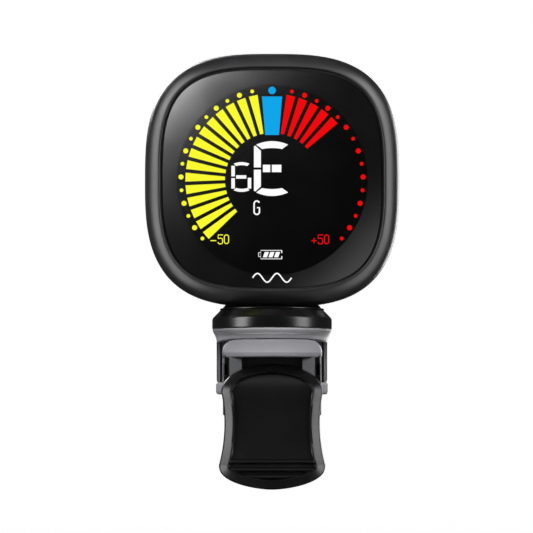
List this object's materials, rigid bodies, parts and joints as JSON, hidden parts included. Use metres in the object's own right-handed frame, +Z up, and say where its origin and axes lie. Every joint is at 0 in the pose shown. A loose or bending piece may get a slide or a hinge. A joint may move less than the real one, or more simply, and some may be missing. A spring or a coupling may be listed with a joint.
{
  "type": "clip-on instrument tuner",
  "caption": "Clip-on tuner: a square display head on a tilting, turning swivel above a spring clip with silicone jaw pads.",
  "frame": {"origin": "the middle of the clip's grip line, where the two closed jaw pads meet, on the swivel's turning axis", "axes": "+Z up along the swivel's turning axis, -Y out of the jaws' mouth, the side that the display faces, +X to the display's right"},
  "size_m": [0.052, 0.0306, 0.0888],
  "materials": {
    "black_plastic": "satin black ABS, fine even texture, slightly glossy on the edges",
    "gloss_black": "polished black acrylic",
    "silicone_grey": "translucent grey silicone, soft satin surface",
    "steel": "zinc-plated steel",
    "spring_steel": "drawn music wire, dull grey",
    "acetal": "natural white acetal",
    "lcd_black": "dark display glass, almost black when unlit",
    "tape_black": "black foam tape",
    "white_plastic": "white moulded plastic",
    "clear_acrylic": "clear acrylic light guide",
    "led_white": "small white LED packages",
    "elastomer_pink": "conductive silicone strip",
    "board_green": "green solder mask over glass-epoxy board",
    "chip_black": "black moulded chip packages",
    "switch_metal": "tinned switch cans",
    "port_steel": "stainless socket shell",
    "battery_foil": "silver pouch foil",
    "foam_black": "black foam",
    "wire_red": "red wire insulation",
    "piezo_brass": "brass disc with a grey ceramic face",
    "screw_black": "black oxide screws",
    "button_black": "satin black button caps"
  },
  "bodies": {
    "clip": {"clip_body": "black_plastic", "upper_jaw_pad": "silicone_grey", "swivel_collar": "gloss_black", "swivel_bushing": "acetal", "pivot_pin": "steel", "pin_retainers": "spring_steel", "torsion_spring": "spring_steel"},
    "lever": {"thumb_lever": "black_plastic", "lower_jaw_pad": "silicone_grey"},
    "turntable": {"turntable": "black_plastic", "swivel_washer": "steel", "swivel_screw": "steel"},
    "head": {"hinge_bracket": "black_plastic", "tilt_pin": "steel", "tilt_washers": "acetal", "front_bezel": "gloss_black", "display_window": "gloss_black", "window_tape": "tape_black", "lcd_panel": "lcd_black", "lcd_holder": "white_plastic", "light_guide": "clear_acrylic", "backlight_leds": "led_white", "zebra_strip": "elastomer_pink", "main_board": "board_green", "board_chips": "chip_black", "tact_switches": "switch_metal", "usb_socket": "port_steel", "battery_cell": "battery_foil", "battery_foam": "foam_black", "battery_leads": "wire_red", "piezo_disc": "piezo_brass", "piezo_leads": "wire_red", "rear_cover": "black_plastic", "cover_screws": "screw_black", "bracket_screws": "screw_black"},
    "power_button": {"power_button": "button_black"},
    "mode_button": {"mode_button": "button_black"}
  },
  "joints": [
    {"name": "pan", "type": "hinge", "parent": "clip", "child": "turntable", "pos_m": [0, 0, 0.004], "axis": [0, 0, 1], "continuous": true},
    {"name": "tilt", "type": "hinge", "parent": "turntable", "child": "head", "pos_m": [0, 0.0082, 0.0142], "axis": [-1, 0, 0], "range_deg": [0, 90]},
    {"name": "lever_pivot", "type": "hinge", "parent": "clip", "child": "lever", "pos_m": [0, 0.0035, -0.01], "axis": [1, 0, 0], "range_deg": [0, 55], "stiffness_Nm_per_rad": 0.12, "springref_deg": -40.11, "deforming": ["torsion_spring"]},
    {"name": "power_press", "type": "slide", "parent": "head", "child": "power_button", "axis": [0, -1, 0], "range_m": [0, 0.0003], "stiffness_N_per_m": 800},
    {"name": "mode_press", "type": "slide", "parent": "head", "child": "mode_button", "axis": [0, -1, 0], "range_m": [0, 0.0003], "stiffness_N_per_m": 800}
  ]
}
